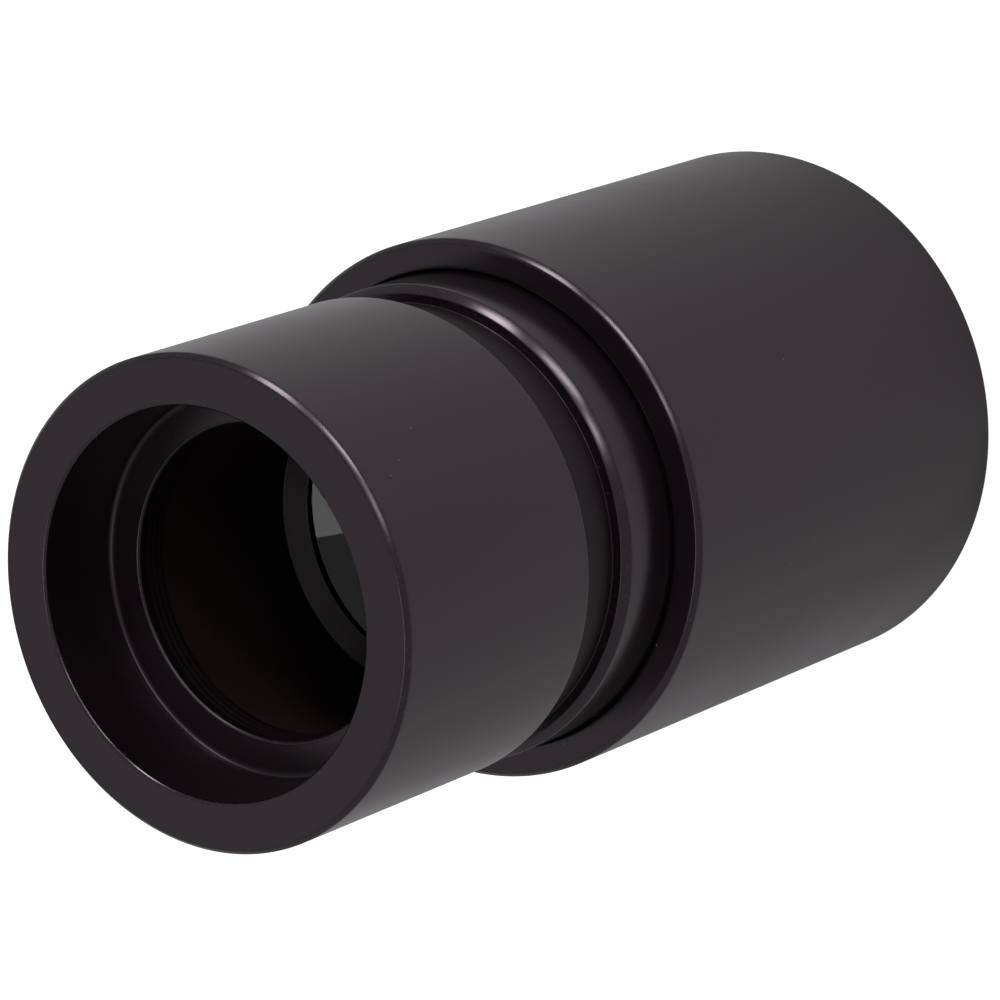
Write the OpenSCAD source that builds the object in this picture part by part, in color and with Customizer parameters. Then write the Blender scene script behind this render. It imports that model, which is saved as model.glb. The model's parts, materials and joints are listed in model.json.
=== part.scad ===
// Short Barlow lens for telescopes with 1.25 inch eyepieces.
// The optical axis is +Z. The origin is the centre of the eyepiece rim, and the
// nosepiece points up. Everything is turned about Z. Lengths are in millimetres.

/* [Barrel standard] */
// Diameter of the nosepiece and of the eyepiece barrels that it takes
barrel_d = 31.7; // [24.5:0.1:46]
// Extra diameter of the eyepiece socket over a barrel
socket_clearance = 0.1; // [0.04:0.02:0.2]

/* [Eyepiece holder] */
// Wall of the eyepiece holder around its socket
holder_wall = 2.1; // [1.6:0.1:6]
// Depth of the eyepiece socket, down to its stop
socket_depth = 30; // [20:0.5:60]
// Chamfer that leads the eyepiece into the socket
socket_entry = 0.6; // [0.3:0.1:1.2]
// Chamfer around the outside of the eyepiece rim
rim_chamfer = 0.4; // [0.1:0.1:1]
// Chamfer around the outside of the shoulder
shoulder_chamfer = 0.3; // [0.1:0.1:1]

/* [Grip ring] */
// Distance of the grip ring from the eyepiece rim
grip_height = 7; // [4:0.5:16]
// Thickness of the grip ring's rubber
grip_section = 1.4; // [1:0.1:1.6]
// How far the grip ring stands out of the socket wall
grip_stand = 0.2; // [0.1:0.05:0.25]
// Extra width of the groove over the rubber
grip_groove_play = 0.4; // [0.2:0.1:1]

/* [Nosepiece] */
// Length of the nosepiece above the shoulder
nose_length = 28.2; // [22:0.2:50]
// Length of the ridge between the shoulder and the safety undercut
ridge_length = 5; // [2:0.1:8]
// Width of the safety undercut
undercut_width = 4.1; // [2:0.1:8]
// Depth of the safety undercut
undercut_depth = 1.15; // [0.7:0.05:1.6]
// Wall left between the undercut and the lens cell
undercut_wall = 2.2; // [1.8:0.1:3]
// Chamfer at the front of the nosepiece
front_chamfer = 0.3; // [0.1:0.05:0.6]
// Chamfer at the front of the ridge
ridge_chamfer = 0.5; // [0.1:0.05:0.9]
// Wall of the counterbore at the front of the nosepiece
front_wall = 3.3; // [2.5:0.1:3.8]
// Depth of the front counterbore, down to its shelf
counterbore_depth = 6.4; // [3:0.1:12]
// Radius of the corner between the counterbore and its shelf
corner_radius = 0.3; // [0.1:0.05:0.8]
// Width of the shelf, from the counterbore in to its threaded hole
shelf_width = 2.38; // [2.3:0.02:4]
// Thickness of the shelf
shelf_thickness = 2.5; // [1.5:0.1:5]
// Step from the counterbore in to the throat behind the shelf
throat_step = 1.55; // [1:0.05:2.2]

/* [Screw joint] */
// Step from the nosepiece down to its thread
thread_step = 0.85; // [0.6:0.05:2]
// Pitch of the thread
thread_pitch = 0.75; // [0.5:0.25:1]
// Length of the threaded seat in the eyepiece holder
thread_seat = 6; // [4:0.5:12]
// Width of the relief groove under the ridge
relief_width = 0.9; // [0.5:0.1:1.5]
// Depth of the recess in the shoulder that the ridge sits in
seat_recess = 0.3; // [0.2:0.1:1]

/* [Lens cell] */
// Wall of the cell around the glass
cell_wall = 1.7; // [1.5:0.1:3]
// Thickness of the lip in front of the glass
lip_thickness = 1.1; // [1:0.1:2]
// Width of the lip that holds the glass
lip_width = 1.05; // [0.6:0.05:2]
// Depth of the sloping face around the opening of the lip
lip_drop = 0.9; // [0.3:0.1:0.9]
// Depth that the retaining ring sits inside the cell
ring_recess = 0.6; // [0.4:0.1:2]
// Width of the spanner slots across the cell
cell_slot_width = 2; // [1:0.1:3]
// Depth of the spanner slots in the cell
cell_slot_depth = 0.8; // [0.4:0.1:0.9]

/* [Glass] */
// Radius of the concave front surface
front_radius = 26; // [24:1:90]
// Radius of the cemented surface
cement_radius = 24; // [20:1:60]
// Radius of the concave rear surface
rear_radius = 60; // [40:5:300]
// Thickness of the front element at its centre
front_centre = 1.2; // [1:0.1:4]
// Thickness of the rear element at its edge
rear_edge = 1.05; // [0.8:0.05:3]
// Thickness of the cement between the elements
cement_gap = 0.02; // [0.01:0.01:0.05]

/* [Retaining ring] */
// Thickness of the ring that holds the glass
ring_thickness = 2.2; // [1.5:0.1:4]
// Radial width of the ring
ring_width = 1.8; // [1.5:0.1:2.5]
// Step from the glass bore out to the ring's thread
ring_step = 0.5; // [0.3:0.05:0.8]
// Width of the ring's spanner slots
ring_slot_width = 1.6; // [0.8:0.1:2.5]
// Depth of the ring's spanner slots
ring_slot_depth = 0.8; // [0.4:0.1:1.2]
// Thickness of the shim between the ring and the glass
shim_thickness = 0.3; // [0.15:0.05:0.6]

/* [Fits] */
// Radial gap of the running thread between nosepiece and holder
thread_gap = 0.05; // [0.03:0.01:0.09]
// Radial gap around the pieces that are screwed or pushed in for good
fixed_gap = 0.03; // [0.02:0.01:0.06]
// Radial gap around the glass
glass_gap = 0.05; // [0.03:0.01:0.1]
// Small edge break on turned corners
edge_break = 0.15; // [0.05:0.05:0.25]

/* [Hidden] */
$fn = 180;

black = [0.10, 0.09, 0.10];
soft_black = [0.16, 0.15, 0.16];
clear_glass = [0.72, 0.80, 0.84, 0.5];
tinted_glass = [0.62, 0.74, 0.70, 0.5];

// a cut runs this far past the surface that it opens
overrun = 0.5;

// barrel, socket and holder
nose_r = barrel_d / 2;
socket_r = (barrel_d + socket_clearance) / 2;
holder_r = socket_r + holder_wall;

// grip ring and its groove
grip_tube_r = grip_section / 2;
grip_centre_r = socket_r - grip_stand + grip_tube_r;
grip_groove_r = socket_r - grip_stand + grip_section + fixed_gap;
grip_groove_width = grip_section + grip_groove_play;

// heights of the screw joint and of the nosepiece
shoulder_z = socket_depth + thread_seat;
front_z = shoulder_z + nose_length;
ridge_z = shoulder_z + ridge_length;
undercut_z = ridge_z + undercut_width;

// the thread is drawn as a plain cylinder half way down its depth
thread_depth = 0.54 * thread_pitch;
spigot_r = nose_r - thread_step - thread_depth / 2;
seat_r = spigot_r + thread_gap;
relief_r = nose_r - thread_step - thread_depth - edge_break;
spigot_z = socket_depth + edge_break;
recess_r = nose_r + thread_gap;
recess_z = shoulder_z - seat_recess;

// bores of the nosepiece
undercut_r = nose_r - undercut_depth;
cell_bore_r = undercut_r - undercut_wall;
counterbore_r = nose_r - front_wall;
shelf_r = counterbore_r - shelf_width;
throat_r = counterbore_r - throat_step;
shelf_z = front_z - counterbore_depth;
throat_z = shelf_z - shelf_thickness;

// glass
cell_r = cell_bore_r - fixed_gap;
glass_bore_r = cell_r - cell_wall;
glass_r = glass_bore_r - glass_gap;
function sag(radius, r) = radius - sqrt(radius * radius - r * r);

// the stack in the cell, from its rear rim up to its lip
cell_z = spigot_z + 2 * edge_break;
ring_z = cell_z + ring_recess;
shim_z = ring_z + ring_thickness;
rear_edge_z = shim_z + shim_thickness;
rear_vertex_z = rear_edge_z + sag(rear_radius, glass_r);
cement_z = rear_edge_z + rear_edge + sag(cement_radius, glass_r);
front_vertex_z = cement_z + cement_gap + front_centre;
glass_z = front_vertex_z + sag(front_radius, glass_r);
cell_top_z = glass_z + lip_thickness;
lip_r = glass_bore_r - lip_width;

// retaining ring and shim
ring_bore_r = glass_bore_r + ring_step;
ring_r = ring_bore_r - fixed_gap;
ring_hole_r = ring_r - ring_width;

// a solid turned from an outline of [radius, height] points
module turned(outline) {
    rotate_extrude()
        polygon(outline);
}

// an arc in an outline, from one angle to another about a centre
function arc(centre, radius, from, to, steps = 6) = [
    for (i = [0 : steps])
        let (a = from + (to - from) * i / steps)
            centre + radius * [cos(a), sin(a)]
];

// two slots across a rim that faces down, for a spanner
module spanner_slots(radius, z, width, depth) {
    translate([-radius - overrun, -width / 2, z - overrun])
        cube([2 * (radius + overrun), width, depth + overrun]);
}

module eyepiece_holder() {
    color(black)
        turned([
            [socket_r + socket_entry, 0],
            [holder_r - rim_chamfer, 0],
            [holder_r, rim_chamfer],
            [holder_r, shoulder_z - shoulder_chamfer],
            [holder_r - shoulder_chamfer, shoulder_z],
            [recess_r + edge_break, shoulder_z],
            [recess_r, recess_z],
            [seat_r + edge_break, recess_z],
            [seat_r, recess_z - edge_break],
            [seat_r, socket_depth],
            [socket_r, socket_depth],
            [socket_r, grip_height + grip_groove_width / 2],
            [grip_groove_r, grip_height + grip_groove_width / 2],
            [grip_groove_r, grip_height - grip_groove_width / 2],
            [socket_r, grip_height - grip_groove_width / 2],
            [socket_r, socket_entry]
        ]);
}

// the rubber ring that holds an eyepiece by friction
module grip_ring() {
    color(soft_black)
        rotate_extrude()
            translate([grip_centre_r, grip_height])
                circle(r = grip_tube_r, $fn = 48);
}

module nosepiece() {
    color(black)
        turned([
            // spigot and relief groove
            [cell_bore_r + edge_break, spigot_z],
            [spigot_r - thread_depth, spigot_z],
            [spigot_r, spigot_z + thread_depth],
            [spigot_r, recess_z - relief_width],
            [relief_r, recess_z - relief_width],
            [relief_r, recess_z],
            // ridge, safety undercut and barrel
            [nose_r, recess_z],
            [nose_r, ridge_z - ridge_chamfer],
            [nose_r - ridge_chamfer, ridge_z],
            [undercut_r, ridge_z],
            [undercut_r, undercut_z],
            [nose_r - edge_break, undercut_z],
            [nose_r, undercut_z + edge_break],
            [nose_r, front_z - front_chamfer],
            [nose_r - front_chamfer, front_z],
            // counterbore, shelf, throat and cell bore
            [counterbore_r + edge_break, front_z],
            [counterbore_r, front_z - edge_break],
            each arc([counterbore_r - corner_radius, shelf_z + corner_radius], corner_radius, 0, -90),
            [shelf_r + edge_break, shelf_z],
            [shelf_r, shelf_z - edge_break],
            [shelf_r, throat_z],
            [throat_r, throat_z],
            [throat_r, cell_top_z],
            [cell_bore_r, cell_top_z],
            [cell_bore_r, spigot_z + edge_break]
        ]);
}

module lens_cell() {
    color(black)
        difference() {
            turned([
                [ring_bore_r + edge_break, cell_z],
                [cell_r - edge_break, cell_z],
                [cell_r, cell_z + edge_break],
                [cell_r, cell_top_z - edge_break],
                [cell_r - edge_break, cell_top_z],
                [throat_r, cell_top_z],
                [lip_r, cell_top_z - lip_drop],
                [lip_r, glass_z],
                [glass_bore_r, glass_z],
                [glass_bore_r, shim_z + edge_break],
                [ring_bore_r, shim_z + edge_break],
                [ring_bore_r, cell_z + edge_break]
            ]);
            spanner_slots(cell_r, cell_z, cell_slot_width, cell_slot_depth);
        }
}

// the biconcave element that faces the sky
module front_element() {
    edge_z = rear_edge_z + rear_edge + cement_gap;
    color(clear_glass)
        difference() {
            translate([0, 0, edge_z])
                cylinder(r = glass_r, h = glass_z - edge_z);
            translate([0, 0, front_vertex_z + front_radius])
                sphere(r = front_radius);
            translate([0, 0, cement_z + cement_gap - cement_radius])
                sphere(r = cement_radius);
        }
}

// the meniscus element, cemented behind it
module rear_element() {
    color(tinted_glass)
        difference() {
            intersection() {
                translate([0, 0, rear_edge_z])
                    cylinder(r = glass_r, h = cement_z - rear_edge_z);
                translate([0, 0, cement_z - cement_radius])
                    sphere(r = cement_radius);
            }
            translate([0, 0, rear_vertex_z - rear_radius])
                sphere(r = rear_radius);
        }
}

module lens_shim() {
    color(soft_black)
        turned([
            [ring_hole_r, shim_z],
            [glass_r, shim_z],
            [glass_r, rear_edge_z],
            [ring_hole_r, rear_edge_z]
        ]);
}

module retaining_ring() {
    color(black)
        difference() {
            turned([
                [ring_hole_r + edge_break, ring_z],
                [ring_r - edge_break, ring_z],
                [ring_r, ring_z + edge_break],
                [ring_r, shim_z],
                [ring_hole_r, shim_z],
                [ring_hole_r, ring_z + edge_break]
            ]);
            spanner_slots(ring_r, ring_z, ring_slot_width, ring_slot_depth);
        }
}

eyepiece_holder();
grip_ring();
nosepiece();
lens_cell();
front_element();
rear_element();
lens_shim();
retaining_ring();
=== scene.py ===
# %% [markdown]
# # A Barlow lens, turned on a lathe
#
# A Barlow lens goes between a telescope's focuser and its eyepiece, and doubles the magnification.
# Nearly all of it is made on a lathe: a holder with a socket for the eyepiece, a nosepiece that slides
# into the focuser, and inside it a cell with a pair of cemented lenses. The script loads the CAD model
# as a frame and turns a finer piece over each plain CAD piece: rounded edges, real threads and tool
# marks. No piece is moved or resized, so the joints keep working.

# %% Load the frame
import json
import math

import bmesh
import bpy
from mathutils import Matrix, Vector


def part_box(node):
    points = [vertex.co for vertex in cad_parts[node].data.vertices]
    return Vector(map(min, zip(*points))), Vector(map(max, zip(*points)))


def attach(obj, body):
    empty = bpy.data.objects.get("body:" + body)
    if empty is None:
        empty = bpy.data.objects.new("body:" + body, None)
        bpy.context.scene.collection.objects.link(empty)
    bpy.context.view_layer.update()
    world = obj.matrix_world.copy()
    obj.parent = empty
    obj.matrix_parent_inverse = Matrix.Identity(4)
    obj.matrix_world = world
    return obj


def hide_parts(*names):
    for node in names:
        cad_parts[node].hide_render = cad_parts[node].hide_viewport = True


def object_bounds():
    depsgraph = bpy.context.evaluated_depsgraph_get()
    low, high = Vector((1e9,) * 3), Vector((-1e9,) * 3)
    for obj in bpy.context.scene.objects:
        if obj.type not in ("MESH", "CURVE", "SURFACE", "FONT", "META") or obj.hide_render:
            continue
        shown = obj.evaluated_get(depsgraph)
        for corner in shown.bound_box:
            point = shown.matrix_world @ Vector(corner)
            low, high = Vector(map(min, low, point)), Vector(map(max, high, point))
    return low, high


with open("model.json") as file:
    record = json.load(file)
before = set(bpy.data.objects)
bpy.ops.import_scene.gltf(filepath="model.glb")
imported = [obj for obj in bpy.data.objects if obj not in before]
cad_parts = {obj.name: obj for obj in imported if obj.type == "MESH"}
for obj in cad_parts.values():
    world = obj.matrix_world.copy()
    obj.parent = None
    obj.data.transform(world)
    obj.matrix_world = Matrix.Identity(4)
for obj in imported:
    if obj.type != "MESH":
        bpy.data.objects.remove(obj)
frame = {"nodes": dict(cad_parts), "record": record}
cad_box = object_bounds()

MM = 0.001
UP = Vector((0, 0, 1))
record = frame["record"]
scene = bpy.context.scene
print("CAD box in mm:", [[round(value / MM, 2) for value in corner] for corner in cad_box])

# %% [markdown]
# ## The camera
#
# The nose comes towards the viewer and the barrel lies across the picture, although the object stands
# upright in its own frame. So the camera looks down at it from above the front, and is rolled until the
# axis lies across. A long lens from far away would flatten the cylinders. This one is a little nearer,
# which makes the nose look as large as the wider holder behind it.

# %% Place the camera
CAMERA_DISTANCE = 377.5 * MM
CAMERA_ELEVATION = math.radians(51.8)
CAMERA_ROLL = math.radians(-109.58)
FOCAL_LENGTH = 206.57
aim = Vector((0, 0, 32.7 * MM))

camera_data = bpy.data.cameras.new("camera")
camera_data.lens = FOCAL_LENGTH
camera_data.sensor_width = 36
camera_data.clip_start = 0.01
camera = bpy.data.objects.new("camera", camera_data)
scene.collection.objects.link(camera)
towards_camera = Vector((0, -math.cos(CAMERA_ELEVATION), math.sin(CAMERA_ELEVATION)))
level = towards_camera.to_track_quat("Z", "Y").to_matrix().to_4x4()
place = Matrix.Translation(aim + CAMERA_DISTANCE * towards_camera)
camera.matrix_world = place @ level @ Matrix.Rotation(CAMERA_ROLL, 4, "Z")
scene.camera = camera
print("camera at", [round(value, 4) for value in camera.location])

# %% [markdown]
# ## The studio
#
# Black anodised metal has hardly any colour of its own. What it shows is the room, so the room is what
# is designed. The sides mirror the floor around the foot of the object, the faces that look up mirror
# what is high up behind it, and the hollow face of the lens mirrors what is straight above. So the room
# is grey, with a soft panel behind, a wide soft box overhead, and smaller boxes low on one side that
# draw a bright line along the chamfers. The panel is small on purpose: a face that was cut in rings
# tips its mirror image on and off the panel's edge, and that makes the rings show. The "Standard" view
# keeps white paper white. A filmic view would grey it.

# %% Light the room
scene.view_settings.view_transform = "Standard"
ROOM = (0.36, 0.353, 0.36)
world = bpy.data.worlds.new("room")
world.use_nodes = True
world.node_tree.nodes["Background"].inputs["Color"].default_value = (*ROOM, 1)
world.node_tree.nodes["Background"].inputs["Strength"].default_value = 1.0
scene.world = world


def softbox(name, azimuth, elevation, distance, width, height, radiance):
    """A rectangular lamp aimed at the object. Azimuth 0 is the viewer's side, and 90 is +X."""
    lamp = bpy.data.lights.new(name, "AREA")
    lamp.shape = "RECTANGLE"
    lamp.size = width
    lamp.size_y = height
    lamp.energy = radiance * math.pi * width * height
    turn = math.radians(azimuth)
    rise = math.radians(elevation)
    direction = Vector((math.sin(turn) * math.cos(rise), -math.cos(turn) * math.cos(rise), math.sin(rise)))
    facing = direction.to_track_quat("Z", "Y").to_matrix().to_4x4()
    box = bpy.data.objects.new(name, lamp)
    box.matrix_world = Matrix.Translation(aim + distance * direction) @ facing
    scene.collection.objects.link(box)
    print(name, "gives", round(lamp.energy, 2), "W")


softbox("key", azimuth=40, elevation=33, distance=0.75, width=0.26, height=0.07, radiance=16)
softbox("fill", azimuth=14, elevation=39, distance=0.75, width=0.14, height=0.08, radiance=10)
softbox("rim", azimuth=74, elevation=28, distance=0.75, width=0.16, height=0.16, radiance=14)
softbox("overhead", azimuth=-100, elevation=74, distance=0.75, width=0.30, height=0.26, radiance=1.6)
softbox("panel", azimuth=180, elevation=52, distance=0.75, width=0.30, height=0.20, radiance=0.14)

# %% [markdown]
# ## Building finishes from nodes
#
# A finish is a small tree of nodes. Two helpers keep the trees short: one adds a node and fills its
# sockets, the other measures where a point is on a turned piece. Everything on a lathe depends only on
# the distance from the axis and the height, so those two numbers are the coordinates of tool marks.


# %% Node helpers
class Finish:
    """A material under construction: its nodes, and its one Principled shader."""

    def __init__(self, name):
        self.material = bpy.data.materials.new(name)
        self.material.use_nodes = True
        self.tree = self.material.node_tree
        self.shader = self.tree.nodes["Principled BSDF"]

    def add(self, kind, settings=None, **inputs):
        node = self.tree.nodes.new("ShaderNode" + kind)
        for name, value in (settings or {}).items():
            setattr(node, name, value)
        for name, value in inputs.items():
            self.feed(node, name.replace("_", " "), value)
        return node

    def feed(self, node, socket, value):
        target = node.inputs[int(socket)] if socket.isdigit() else node.inputs[socket]
        if isinstance(value, bpy.types.NodeSocket):
            self.tree.links.new(value, target)
        else:
            target.default_value = value

    def math(self, operation, first, second=0.0):
        node = self.add("Math", {"operation": operation})
        self.feed(node, "0", first)
        self.feed(node, "1", second)
        return node.outputs[0]

    def between(self, value, start, end, low, high):
        """Maps value from start..end to low..high, and stops there."""
        node = self.add("MapRange")
        for name, number in (("From Min", start), ("From Max", end), ("To Min", low), ("To Max", high)):
            node.inputs[name].default_value = number
        self.feed(node, "Value", value)
        return node.outputs["Result"]

    def position(self):
        return self.add("TexCoord").outputs["Object"]

    def turned_position(self):
        """(distance from the axis, height, 0): the same all the way round."""
        here = self.position()
        flat = self.add("VectorMath", {"operation": "MULTIPLY"})
        self.feed(flat, "0", here)
        flat.inputs[1].default_value = (1, 1, 0)
        radius = self.add("VectorMath", {"operation": "LENGTH"})
        self.feed(radius, "0", flat.outputs["Vector"])
        height = self.add("SeparateXYZ", Vector=here)
        return self.add("CombineXYZ", X=radius.outputs["Value"], Y=height.outputs["Z"]).outputs["Vector"]

    def noise(self, where, size, detail=2.0):
        """Noise from 0 to 1 whose patches are about size wide."""
        return self.add("TexNoise", Vector=where, Scale=1 / size, Detail=detail).outputs["Fac"]

    def blend(self, factor, first, second):
        node = self.add("Mix", {"data_type": "RGBA"})
        self.feed(node, "0", factor)
        self.feed(node, "6", first)
        self.feed(node, "7", second)
        return node.outputs[2]

    def bump(self, height, depth, below=None):
        node = self.add("Bump", Height=height, Distance=depth, Strength=1.0)
        if below:
            self.feed(node, "Normal", below)
        return node.outputs["Normal"]

    def set(self, **inputs):
        for name, value in inputs.items():
            self.feed(self.shader, name.replace("_", " "), value)


# %% [markdown]
# ## Black anodised aluminium
#
# The metal is turned, etched a little and dyed black in its oxide skin. Four things tell it from black
# plastic: tool marks that run round it, a skin that is slightly uneven in gloss, edges where the dye is
# thin, and grains of dust that show on black. The marks are noise on distance and height. The edges
# come from an attribute that the lathe writes on every rounded corner.

# %% The anodised finish
DYE = (0.0052, 0.0030, 0.0042)
BROWN_DYE = (0.017, 0.0105, 0.0085)
THIN_DYE = (0.060, 0.052, 0.058, 1)
DUST = (0.17, 0.16, 0.165, 1)
GLOSS_TINT = (1.0, 0.86, 0.96, 1)
DUST_SPACING = 2.2 * MM
RAGGED_EDGE = 0.02


def anodised(name, gloss, mark_width, mark_depth, dye=DYE, index=1.6, wear=0.35, dust=0.04):
    """Dyed oxide with turned marks. gloss is the smoothest and the roughest patch."""
    finish = Finish(name)
    here = finish.position()
    turned = finish.turned_position()
    fine = finish.noise(turned, mark_width, detail=3)
    coarse = finish.noise(turned, 6 * mark_width, detail=1)
    patches = finish.noise(here, 9 * MM, detail=3)
    grain = finish.noise(here, 0.25 * MM, detail=2)
    specks = finish.add("TexVoronoi", Vector=here, Scale=1 / DUST_SPACING)
    ragged = finish.math("ADD", specks.outputs["Distance"], finish.math("MULTIPLY", grain, RAGGED_EDGE))
    dusty = finish.between(ragged, dust, dust * 0.6, 0, 1)
    corner = finish.add("Attribute", {"attribute_name": "corner"}).outputs["Fac"]
    worn = finish.math("MULTIPLY", corner, finish.between(grain, 0.60, 0.72, 0.0, wear))
    paler = [1.5 * part for part in dye]
    dyed = finish.blend(finish.math("MULTIPLY", patches, 0.5), (*dye, 1), (*paler, 1))
    colour = finish.blend(dusty, finish.blend(worn, dyed, THIN_DYE), DUST)
    smooth = finish.between(finish.math("ADD", patches, finish.math("MULTIPLY", fine, 0.5)), 0.5, 1.0, *gloss)
    marks = finish.bump(coarse, 2 * mark_depth)
    finish.set(Base_Color=colour, Roughness=finish.math("ADD", smooth, finish.math("MULTIPLY", dusty, 0.4)))
    finish.set(Normal=finish.bump(fine, mark_depth, marks), IOR=index, Specular_Tint=GLOSS_TINT)
    print("made", name)
    return finish.material


holder_black = anodised("holder_anodised_black", (0.18, 0.27), 0.16 * MM, 0.0012 * MM)
nose_black = anodised("nose_anodised_black", (0.16, 0.25), 0.14 * MM, 0.0012 * MM)
inner_black = anodised("inner_anodised_black", (0.22, 0.34), 0.20 * MM, 0.003 * MM)
cell_black = anodised("cell_anodised_black", (0.24, 0.36), 0.20 * MM, 0.003 * MM, index=1.45)
bore_black = anodised("bore_anodised_black", (0.30, 0.45), 0.24 * MM, 0.005 * MM, index=1.5, dust=0.03)
groove_black = anodised("groove_anodised_black", (0.42, 0.55), 0.24 * MM, 0.004 * MM, index=1.4)
throat_brown = anodised("throat_anodised_brown", (0.34, 0.50), 0.30 * MM, 0.006 * MM,
                        dye=BROWN_DYE, index=1.5, dust=0.03)

# %% [markdown]
# ## Glass, ink, rubber and paper
#
# The two lenses are different glasses: a light crown in front and a denser flint behind it. The crown
# is plain, so its hollow face mirrors the room in white. The flint has a coating, a film 140 nanometres
# thick, and the shader works out its colour. The ground rims are inked black, so that no light leaks in
# sideways. The grip is plain nitrile rubber, and the shim is a washer cut from black card.

# %% The other finishes


def glass(name, tint, index, coating):
    """Polished glass with the faintest haze of dust. coating is its thickness in nanometres."""
    finish = Finish(name)
    haze = finish.noise(finish.position(), 1.5 * MM, detail=4)
    finish.set(Base_Color=tint, Roughness=finish.between(haze, 0.55, 0.8, 0.0, 0.04), IOR=index)
    finish.set(Transmission_Weight=1.0, Thin_Film_Thickness=coating, Thin_Film_IOR=1.38)
    return finish.material


def matt(name, dark, light, roughness, grain_size, grain_depth, stretch=(1, 1, 1)):
    """A dull finish: two shades in a fine grain, with a bump of the same grain."""
    finish = Finish(name)
    scaled = finish.add("Mapping", Vector=finish.position(), Scale=stretch).outputs["Vector"]
    grain = finish.noise(scaled, grain_size, detail=4)
    cloud = finish.noise(finish.position(), 12 * grain_size, detail=2)
    finish.set(Base_Color=finish.blend(finish.math("MULTIPLY", grain, cloud), dark, light))
    finish.set(Roughness=finish.between(cloud, 0.3, 0.7, roughness - 0.06, roughness + 0.06))
    finish.set(Normal=finish.bump(grain, grain_depth), IOR=1.5)
    return finish.material


crown = glass("crown_glass_plain", (0.985, 0.99, 0.985, 1), index=1.517, coating=0.0)
flint = glass("flint_glass_coated", (0.985, 0.985, 0.96, 1), index=1.62, coating=140.0)
ink = matt("lens_edge_ink", (0.006, 0.006, 0.007, 1), (0.03, 0.03, 0.032, 1), 0.7, 0.10 * MM, 0.01 * MM)
rubber = matt("nitrile_rubber", (0.010, 0.010, 0.010, 1), (0.045, 0.045, 0.046, 1),
              0.6, 0.12 * MM, 0.012 * MM)
card = matt("black_card", (0.010, 0.009, 0.010, 1), (0.05, 0.047, 0.05, 1),
            0.85, 0.06 * MM, 0.01 * MM, stretch=(1, 3, 1))

# %% [markdown]
# ## Calipers
#
# The fine pieces have to be exactly as big as the CAD pieces. So their sizes aren't typed in again, but
# measured on the CAD meshes. A turned piece has corners at a few radii and at a few heights only. The
# calipers are set roughly, and read the nearest real corner.

# %% Measure a turned node


def calipers(node):
    """Two gauges for a turned CAD node: each takes a rough size in mm and reads the nearest real one."""
    corners = [vertex.co for vertex in frame["nodes"][node].data.vertices]

    def radius(rough):
        return min((corner.xy.length for corner in corners), key=lambda size: abs(size - rough * MM))

    def height(rough):
        return min((corner.z for corner in corners), key=lambda size: abs(size - rough * MM))

    return radius, height


radius, height = calipers("nosepiece")
print("the nose is", round(2 * radius(15.85) / MM, 2), "mm across")
print("the nose ends", round(height(64) / MM, 2), "mm up")

# %% [markdown]
# ## The lathe
#
# A lathe turns an outline into a solid, and bmesh.ops.spin does the same. A subdivision surface could
# round the edges too, but it would also pull the bores off size. So the corners of the outline are
# rounded first, by a vertex bevel on the bare wire. A point is then added just beside each rounding,
# which keeps the shading flat on the long walls. The roundings carry the attribute "corner", where the
# metal finishes thin their dye.

# %% From an outline to a solid
SIDES = 256
CORNER_ANGLE = math.radians(25)
CORNER_REACH = 0.06 * MM
WELD = 0.001 * MM
AXIS = {"cent": (0, 0, 0), "axis": UP}


def outline(points, closed=True):
    """A wire in the plane of X and Z, through (radius, height) points."""
    wire = bmesh.new()
    wire.verts.layers.float.new("corner")
    line = [wire.verts.new((radius, 0, height)) for radius, height in points]
    for first, second in zip(line, line[1:]):
        wire.edges.new((first, second))
    if closed:
        wire.edges.new((line[-1], line[0]))
    return wire


def round_corners(wire, reach):
    """Rounds the true corners, and leaves shallow tool marks and tiny steps alone."""
    corners = []
    for point in wire.verts:
        room = min(edge.calc_length() for edge in point.link_edges)
        if len(point.link_edges) == 2 and point.calc_edge_angle(0) > CORNER_ANGLE and room > 2.2 * reach:
            corners.append(point)
    made = bmesh.ops.bevel(wire, geom=corners, offset=reach, offset_type="OFFSET", segments=3,
                           profile=0.5, affect="VERTICES", material=-1)
    layer = wire.verts.layers.float["corner"]
    for point in made["verts"]:
        point[layer] = 1.0


def hold_walls(wire, gap):
    """Adds a point near both ends of every long wall."""
    layer = wire.verts.layers.float["corner"]
    for wall in [edge for edge in wire.edges if edge.calc_length() > 4 * gap]:
        _, near = bmesh.utils.edge_split(wall, wall.verts[0], gap / wall.calc_length())
        rest = max(near.link_edges, key=lambda edge: edge.calc_length())
        _, far = bmesh.utils.edge_split(rest, rest.other_vert(near), gap / rest.calc_length())
        near[layer] = 0.0
        far[layer] = 0.0


def turned(points, closed=True, reach=CORNER_REACH):
    """The solid that a lathe makes of an outline."""
    shape = outline(points, closed)
    round_corners(shape, reach)
    hold_walls(shape, 3 * reach)
    bmesh.ops.spin(shape, geom=shape.verts[:] + shape.edges[:], angle=math.tau, steps=SIDES,
                   use_merge=True, **AXIS)
    bmesh.ops.remove_doubles(shape, verts=shape.verts, dist=WELD)
    bmesh.ops.recalc_face_normals(shape, faces=shape.faces)
    return shape


def grooves(start, end, pitch, depth):
    """Points for shallow turned grooves from start to end. depth is (along radius, along height)."""
    count = round(math.dist(start, end) / pitch)
    points = []
    for step in range(1, 2 * count):
        part = step / (2 * count)
        dip = step % 2
        points.append(tuple(a + (b - a) * part + dip * d for a, b, d in zip(start, end, depth)))
    return points
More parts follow.
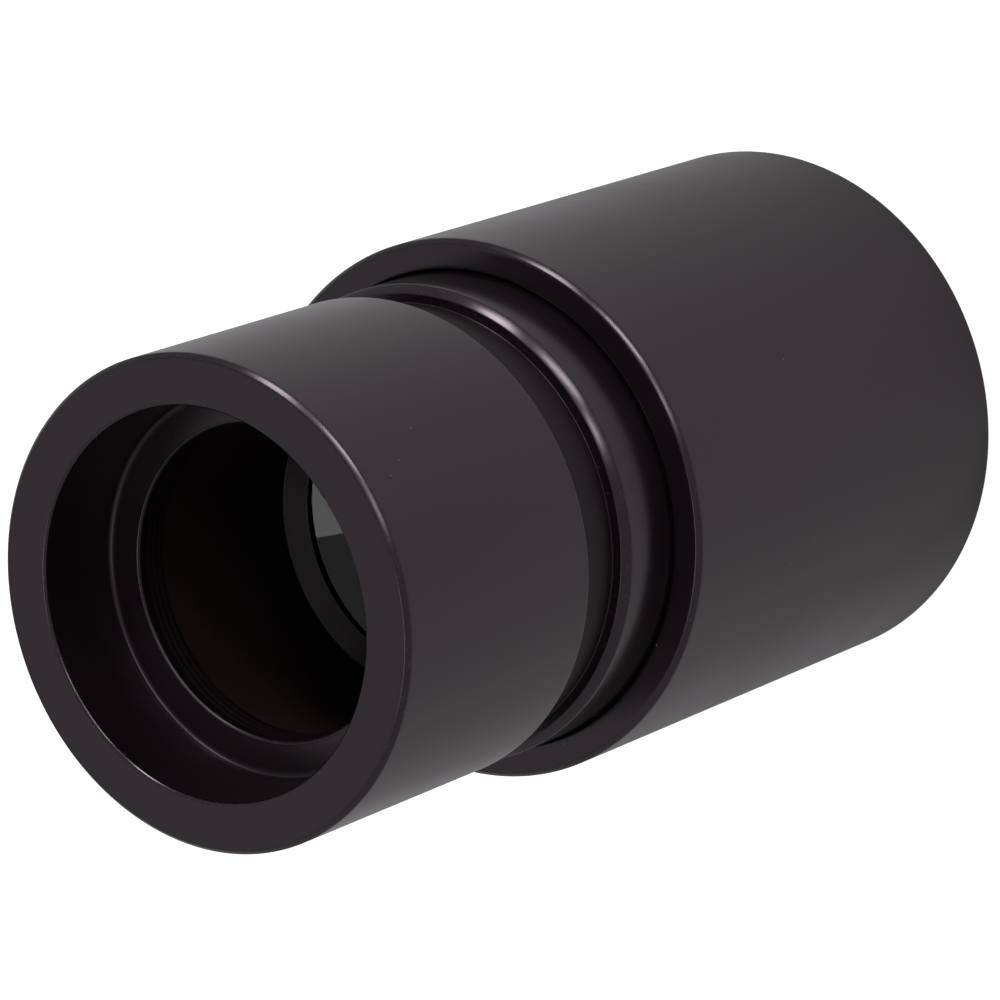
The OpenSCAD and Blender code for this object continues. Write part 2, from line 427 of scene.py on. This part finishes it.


# %% [markdown]
# ## From a shape to a piece of the assembly
#
# The imported record already says which body each CAD node moves with and which finish it has. So the
# piece takes its body from there, which is safer than repeating it here. Its finish is passed in with the
# shape.

# %% Put a piece in place of its CAD node
body_of_node = {}
for body, nodes in record["behaviour"]["bodies"].items():
    for node in nodes:
        body_of_node[node] = body


def fit(shape, node, material):
    """Makes the shape a shown piece in place of that node."""
    mesh = bpy.data.meshes.new(node + "_fine")
    shape.to_mesh(mesh)
    shape.free()
    mesh.shade_smooth()
    mesh.set_sharp_from_angle(angle=math.radians(50))
    mesh.materials.append(material)
    piece = bpy.data.objects.new(node + "_fine", mesh)
    scene.collection.objects.link(piece)
    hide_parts(node)
    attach(piece, body_of_node[node])
    print(piece.name, "has", len(mesh.polygons), "faces and rides on", body_of_node[node])
    return piece


# %% [markdown]
# ## A second finish on one piece
#
# Some walls of a piece look different from the rest: the bore of the nosepiece is duller than its
# outside, and the rim of a lens is inked. Such faces get a second material slot.

# %% Give some faces their own material


def refinish(piece, material, chosen):
    """The faces for which chosen(centre, normal) is true take the other material."""
    piece.data.materials.append(material)
    index = len(piece.data.materials) - 1
    changed = 0
    for face in piece.data.polygons:
        if chosen(face.center, face.normal):
            face.material_index = index
            changed += 1
    print(piece.name, "has", changed, "faces of", material.name)


# %% [markdown]
# ## Screw threads
#
# The CAD draws the running thread as two plain cylinders, half way down its depth. Here it gets its
# real ridges. A ridge is one small profile, spun for several turns while it climbs by one pitch a turn.
# The pitch comes from the joint itself, so the two threads stay in mesh while the nose is unscrewed.

# %% Wind a ridge around the axis
STEPS_PER_TURN = 96
coupling = record["behaviour"]["couplings"][0]
RUNNING_PITCH = coupling["ratio"] * math.tau
RUNNING_DEPTH = 0.54 * RUNNING_PITCH
print("the nose climbs", round(RUNNING_PITCH / MM, 3), "mm a turn")


def wind_ridge(shape, foot, crest, start, end, pitch):
    """Adds a closed ridge between two heights. A crest smaller than the foot points inwards."""
    outwards = math.copysign(1, crest - foot)
    buried = foot - outwards * 0.04 * MM
    wide = 0.44 * pitch
    narrow = 0.06 * pitch
    profile = ((buried, -wide), (foot, -wide), (crest, -narrow),
               (crest, narrow), (foot, wide), (buried, wide))
    corners = [shape.verts.new((radius, 0, start + wide + rise)) for radius, rise in profile]
    face = shape.faces.new(corners)
    turns = (end - start - 2 * wide) / pitch
    steps = round(turns * STEPS_PER_TURN)
    ridge = len(shape.faces)
    bmesh.ops.spin(shape, geom=[face, *face.edges, *face.verts], angle=math.tau * steps / STEPS_PER_TURN,
                   steps=steps, dvec=pitch / STEPS_PER_TURN * UP, use_merge=False, **AXIS)
    bmesh.ops.recalc_face_normals(shape, faces=shape.faces)
    print("a ridge of", round(turns, 1), "turns and", len(shape.faces) - ridge, "faces")


# %% [markdown]
# ## The eyepiece holder
#
# The wide end. A 31.7 mm eyepiece slides into its socket, past a groove with a rubber ring, and the
# nosepiece screws into its far end. It is one turned piece: a plain wall with a chamfer at both rims.

# %% Turn the holder
radius, height = calipers("eyepiece_holder")
thread_foot = radius(14.85) + RUNNING_DEPTH / 2
EDGE = 0.15 * MM
holder_shape = turned([
    (radius(16.5), height(0)),
    (radius(17.6), height(0)),
    (radius(18), height(0.4)),
    (radius(18), height(35.7)),
    (radius(17.7), height(36)),
    (radius(16.05), height(36)),
    (radius(15.9), height(35.7)),
    (thread_foot + EDGE, height(35.7)),
    (thread_foot, height(35.55)),
    (thread_foot, height(30)),
    (radius(15.9), height(30)),
    (radius(15.9), height(7.9)),
    (radius(17.13), height(7.9)),
    (radius(17.13), height(6.1)),
    (radius(15.9), height(6.1)),
    (radius(15.9), height(0.6)),
])
# the spigot's ridge starts at its foot, so this one starts half a pitch higher, between its turns
spigot_foot = calipers("nosepiece")[1](30.15)
wind_ridge(holder_shape, thread_foot, thread_foot - RUNNING_DEPTH,
           spigot_foot + RUNNING_PITCH / 2, height(35.55) - EDGE, RUNNING_PITCH)
fit(holder_shape, "eyepiece_holder", holder_black)

# %% [markdown]
# ## The grip ring
#
# A rubber ring stands a little proud of the socket's wall and holds the eyepiece by friction. Such a
# ring is moulded in two halves, so its section is a circle. A torus could be added ready-made, but the
# same lathe does it from a circle.

# %% Turn the grip ring
low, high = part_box("grip_ring")
section = (high[2] - low[2]) / 2
middle = (high[2] + low[2]) / 2
ring_shape = bmesh.new()
ring_shape.verts.layers.float.new("corner")
upright = Matrix.Translation((high[0] - section, 0, middle)) @ Matrix.Rotation(math.pi / 2, 4, "X")
circle = bmesh.ops.create_circle(ring_shape, radius=section, segments=32, matrix=upright)
bmesh.ops.spin(ring_shape, geom=circle["verts"] + ring_shape.edges[:], angle=math.tau, steps=SIDES,
               use_merge=True, **AXIS)
bmesh.ops.remove_doubles(ring_shape, verts=ring_shape.verts, dist=WELD)
bmesh.ops.recalc_face_normals(ring_shape, faces=ring_shape.faces)
fit(ring_shape, "grip_ring", rubber)

# %% [markdown]
# ## The nosepiece
#
# The narrow end slides into the focuser. From the holder outwards it has a threaded spigot, a short
# ridge, a safety undercut that the focuser's screw can bite into, and the plain barrel. Its mouth is
# bored out down to a shelf, and the round tip of the boring bar leaves a small radius in the corner. The
# shelf was cut with a coarse feed, so fine rings show on it, and its hole is threaded behind a short
# plain lip. Behind it the throat has fine grooves, which break up stray light, and a step for the cell.

# %% A round stretch in an outline


def arc(centre, radius, start, end, steps=6):
    """Points on a circle about a centre, between two angles in degrees."""
    angles = [math.radians(start + (end - start) * step / steps) for step in range(steps + 1)]
    return [(centre[0] + radius * math.cos(angle), centre[1] + radius * math.sin(angle)) for angle in angles]


# %% Measure the mouth
HOLE_PITCH = 0.5 * MM
HOLE_DEPTH = 0.08 * MM
PLAIN_LIP = 0.35 * MM
radius, height = calipers("nosepiece")
shelf = height(57.8)
corner_top = height(58.1)
shelf_corner = arc((radius(12.25), corner_top), corner_top - shelf, 0, -90)
face_rings = grooves((radius(12.25), shelf), (radius(10.32), shelf), 0.30 * MM, (0, -0.03 * MM))
hole_root = radius(10.17) + HOLE_DEPTH
lip_foot = height(57.65) - PLAIN_LIP
throat_grooves = grooves((radius(11), height(55.3)), (radius(11), height(41.76)), 0.5 * MM, (0.035 * MM, 0))
print("the shelf lies", round((height(64.2) - shelf) / MM, 2), "mm deep in the mouth")

# %% Turn the nosepiece
spigot_root = radius(14.8) - RUNNING_DEPTH / 2
nose_shape = turned([
    (radius(12.65), height(30.15)),
    (radius(14.39), height(30.15)),
    (spigot_root, height(30.15) + RUNNING_DEPTH / 2),
    (spigot_root, height(34.8)),
    (radius(14.445), height(34.8)),
    (radius(14.445), height(35.7)),
    (radius(15.85), height(35.7)),
    (radius(15.85), height(40.5)),
    (radius(15.35), height(41)),
    (radius(14.7), height(41)),
    (radius(14.7), height(45.1)),
    (radius(15.7), height(45.1)),
    (radius(15.85), height(45.25)),
    (radius(15.85), height(63.9)),
    (radius(15.55), height(64.2)),
    (radius(12.7), height(64.2)),
    (radius(12.55), height(64.05)),
    *shelf_corner,
    *face_rings,
    (radius(10.32), shelf),
    (radius(10.17), height(57.65)),
    (radius(10.17), lip_foot),
    (hole_root, lip_foot - HOLE_DEPTH),
    (hole_root, height(55.3)),
    (radius(11), height(55.3)),
    *throat_grooves,
    (radius(11), height(41.76)),
    (radius(12.5), height(41.76)),
    (radius(12.5), height(30.3)),
])
wind_ridge(nose_shape, spigot_root, spigot_root + RUNNING_DEPTH,
           spigot_foot, height(34.8) - EDGE, RUNNING_PITCH)
wind_ridge(nose_shape, hole_root, radius(10.17), height(55.3), lip_foot, HOLE_PITCH)
nose = fit(nose_shape, "nosepiece", nose_black)

# %% Give its inner walls and its groove their own finish
mouth = radius(12.55) + WELD
rim_height = height(64.05)
hole_edge = radius(10.32)
throat_top = height(55.3)
ridge_top = height(41)
groove_top = height(45.1)
groove_wall = radius(14.7) + WELD
refinish(nose, bore_black, lambda centre, normal: centre.xy.length < mouth and centre.z < rim_height)
refinish(nose, inner_black, lambda centre, normal: hole_edge < centre.xy.length < mouth
         and throat_top < centre.z < shelf + WELD)
refinish(nose, throat_brown, lambda centre, normal: centre.xy.length < mouth and centre.z < throat_top)
refinish(nose, groove_black, lambda centre, normal: mouth < centre.xy.length < groove_wall
         and ridge_top < centre.z < groove_top)

# %% [markdown]
# ## Spanner slots
#
# The cell and the retaining ring are screwed in with a spanner that fits two slots across the rim. A
# mill cuts such slots straight across, so here a bar is taken away with a boolean, which is applied at
# once. The bar is as wide and as deep as the slot in the CAD mesh.

# %% Mill slots across a rim


def mill_slots(piece, width, bottom, top):
    """Takes a bar along X away from a piece, between two heights."""
    bar = bmesh.new()
    reach = 3 * piece.dimensions.x
    size = Matrix.Diagonal((reach, width, top - bottom, 1))
    bmesh.ops.create_cube(bar, size=1, matrix=Matrix.Translation((0, 0, (top + bottom) / 2)) @ size)
    bar_mesh = bpy.data.meshes.new("bar")
    bar.to_mesh(bar_mesh)
    bar.free()
    cutter = bpy.data.objects.new("bar", bar_mesh)
    scene.collection.objects.link(cutter)
    cut = piece.modifiers.new("slots", "BOOLEAN")
    cut.object = cutter
    cut.operation = "DIFFERENCE"
    cut.solver = "EXACT"
    bpy.context.view_layer.update()
    done = piece.evaluated_get(bpy.context.evaluated_depsgraph_get())
    mesh = bpy.data.meshes.new_from_object(done)
    mesh.name = piece.name
    piece.modifiers.clear()
    piece.data = mesh
    bpy.data.objects.remove(cutter)
    print(piece.name, "has slots, and", len(mesh.polygons), "faces")


def slot_width(node):
    """Twice the least distance from the middle plane of a corner that the slots made in the rim."""
    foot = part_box(node)[0][2]
    rim = [vertex.co for vertex in frame["nodes"][node].data.vertices if vertex.co.z < foot + WELD]
    return 2 * min(abs(corner.y) for corner in rim)


# %% [markdown]
# ## The lens cell
#
# A threaded cup that carries the lenses. The glass drops in from behind and rests against a lip. The
# lip slopes down to its opening as a shallow cone, which catches light where a flat one would be dark.

# %% Turn the cell
radius, height = calipers("lens_cell")
lip_rings = grooves((radius(11), height(41.76)), (radius(9.72), height(40.86)), 0.26 * MM, (0, -0.02 * MM))
cell_shape = turned([
    (radius(11.27) + EDGE, height(30.45)),
    (radius(12.32), height(30.45)),
    (radius(12.47), height(30.6)),
    (radius(12.47), height(41.61)),
    (radius(12.32), height(41.76)),
    (radius(11), height(41.76)),
    *lip_rings,
    (radius(9.72), height(40.86)),
    (radius(9.72), height(40.66)),
    (radius(10.77), height(40.66)),
    (radius(10.77), height(33.4)),
    (radius(11.27), height(33.4)),
    (radius(11.27), height(30.6)),
])
cell = fit(cell_shape, "lens_cell", cell_black)
mill_slots(cell, slot_width("lens_cell"), bottom=height(30.45) - 1 * MM, top=height(31.25))

# %% [markdown]
# ## The retaining ring and the shim
#
# The ring screws in behind the glass. A thin card shim under it lets it press without scratching.

# %% Turn the ring and the shim
radius, height = calipers("retaining_ring")
retainer_shape = turned([
    (radius(9.59), height(31.05)),
    (radius(11.09), height(31.05)),
    (radius(11.24), height(31.2)),
    (radius(11.24), height(33.25)),
    (radius(9.44), height(33.25)),
    (radius(9.44), height(31.2)),
])
retainer = fit(retainer_shape, "retaining_ring", inner_black)
mill_slots(retainer, slot_width("retaining_ring"), bottom=height(31.05) - 1 * MM, top=height(31.85))

radius, height = calipers("lens_shim")
shim_shape = turned([
    (radius(9.44), height(33.25)),
    (radius(10.72), height(33.25)),
    (radius(10.72), height(33.55)),
    (radius(9.44), height(33.55)),
], reach=0.03 * MM)
fit(shim_shape, "lens_shim", card)

# %% [markdown]
# ## The lenses
#
# Two elements are cemented into one negative lens: a biconcave crown in front, and behind it a meniscus
# of flint, which cancels the colours that the crown would make. An optician thinks in radii of
# curvature, so each face is an arc with its own radius. A positive radius has its centre in front.

# %% Grind the lenses
FRONT_RADIUS = 26 * MM
CEMENT_RADIUS = -24 * MM
REAR_RADIUS = -60 * MM
ARC_STEPS = 28
RIM_BREAK = 0.06 * MM


def rise(curve, distance):
    """How far a face of that radius of curvature stands above its middle."""
    return curve - math.copysign(math.sqrt(curve * curve - distance * distance), curve)


def face_arc(curve, middle, rim):
    """Points on a lens face, from the axis out to the rim."""
    distances = [rim * step / ARC_STEPS for step in range(ARC_STEPS + 1)]
    return [(distance, middle + rise(curve, distance)) for distance in distances]


def grind(node, material, front, front_middle, rear, rear_middle):
    """A lens between two spherical faces, with an inked rim."""
    low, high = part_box(node)
    rim = (high[0] - low[0]) / 2
    front_face = face_arc(front, front_middle, rim)
    rear_face = face_arc(rear, rear_middle, rim)
    lens = fit(turned(front_face + rear_face[::-1], closed=False, reach=RIM_BREAK), node, material)
    refinish(lens, ink, lambda centre, normal: abs(normal.z) < 0.5)


low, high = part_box("front_element")
rim = (high[0] - low[0]) / 2
grind("front_element", crown, FRONT_RADIUS, high[2] - rise(FRONT_RADIUS, rim),
      CEMENT_RADIUS, low[2] - rise(CEMENT_RADIUS, rim))
low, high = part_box("rear_element")
grind("rear_element", flint, CEMENT_RADIUS, high[2], REAR_RADIUS, low[2] - rise(REAR_RADIUS, rim))

# %% [markdown]
# ## The floor
#
# A plain sheet of pale paper under the object. It isn't part of the object.
# A product picture burns its paper out to pure white, while the metal still mirrors it as the light
# grey that it is. One exposure can't do both, so the paper glows for the eye alone: the Light Path node
# tells a direct look from a mirrored one.

# %% Lay the paper
PAPER_GLOW = 0.85
PAPER = (0.69, 0.68, 0.69, 1)
PALE_PAPER = (0.74, 0.73, 0.74, 1)
FLOOR_SIZE = 3.0
floor_shape = bmesh.new()
bmesh.ops.create_grid(floor_shape, x_segments=2, y_segments=2, size=FLOOR_SIZE,
                      matrix=Matrix.Translation((0, 0, cad_box[0][2] - 0.1 * MM)))
floor_mesh = bpy.data.meshes.new("floor")
floor_shape.to_mesh(floor_mesh)
floor_shape.free()
floor = bpy.data.objects.new("floor", floor_mesh)
scene.collection.objects.link(floor)
paper = Finish("white_paper")
fibres = paper.noise(paper.position(), 0.8 * MM, detail=4)
direct = paper.add("LightPath").outputs["Is Camera Ray"]
paper.set(Base_Color=paper.blend(fibres, PAPER, PALE_PAPER), Roughness=0.9)
paper.set(Emission_Color=(1, 1, 1, 1), Emission_Strength=paper.math("MULTIPLY", direct, PAPER_GLOW))
paper.set(Normal=paper.bump(fibres, 0.01 * MM))
floor_mesh.materials.append(paper.material)
print("the floor lies at", round(floor_mesh.vertices[0].co.z / MM, 2), "mm")
